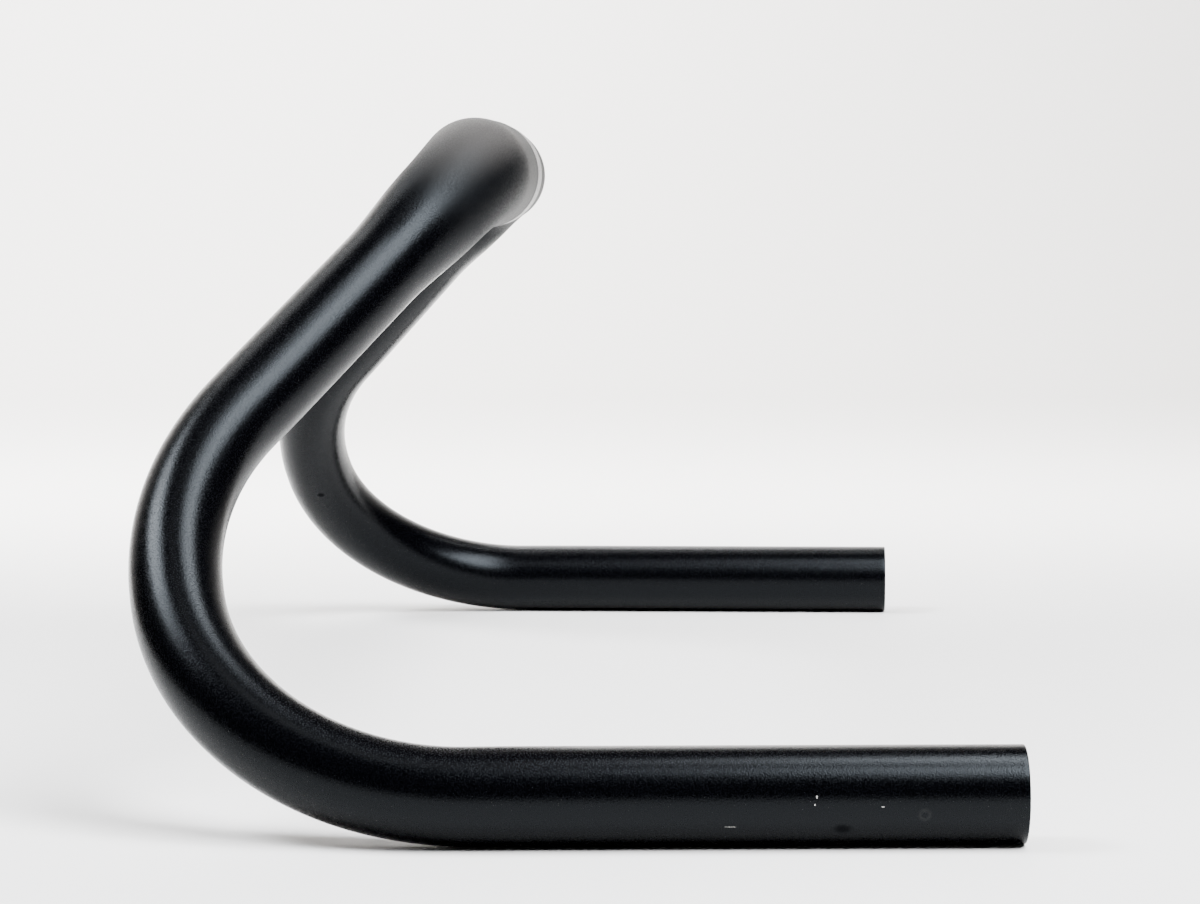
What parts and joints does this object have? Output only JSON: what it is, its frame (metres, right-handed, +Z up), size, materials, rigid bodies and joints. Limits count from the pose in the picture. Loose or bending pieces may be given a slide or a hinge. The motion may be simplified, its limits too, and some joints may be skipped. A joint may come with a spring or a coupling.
{
  "type": "dirt drop handlebar",
  "caption": "Flared drop handlebar bent from one black aluminium tube, with a thicker clamp section, splayed ramps, leaning hooks and level open-ended drops.",
  "frame": {"origin": "centre of the clamp section", "axes": "+X along the clamp section to the rider's right, +Y forwards, +Z up, with the drops level as in the picture"},
  "size_m": [0.5636, 0.2188, 0.1756],
  "materials": {
    "black_finish": "satin black anodised"
  },
  "bodies": {
    "root": {"handlebar": "black_finish"}
  },
  "joints": []
}
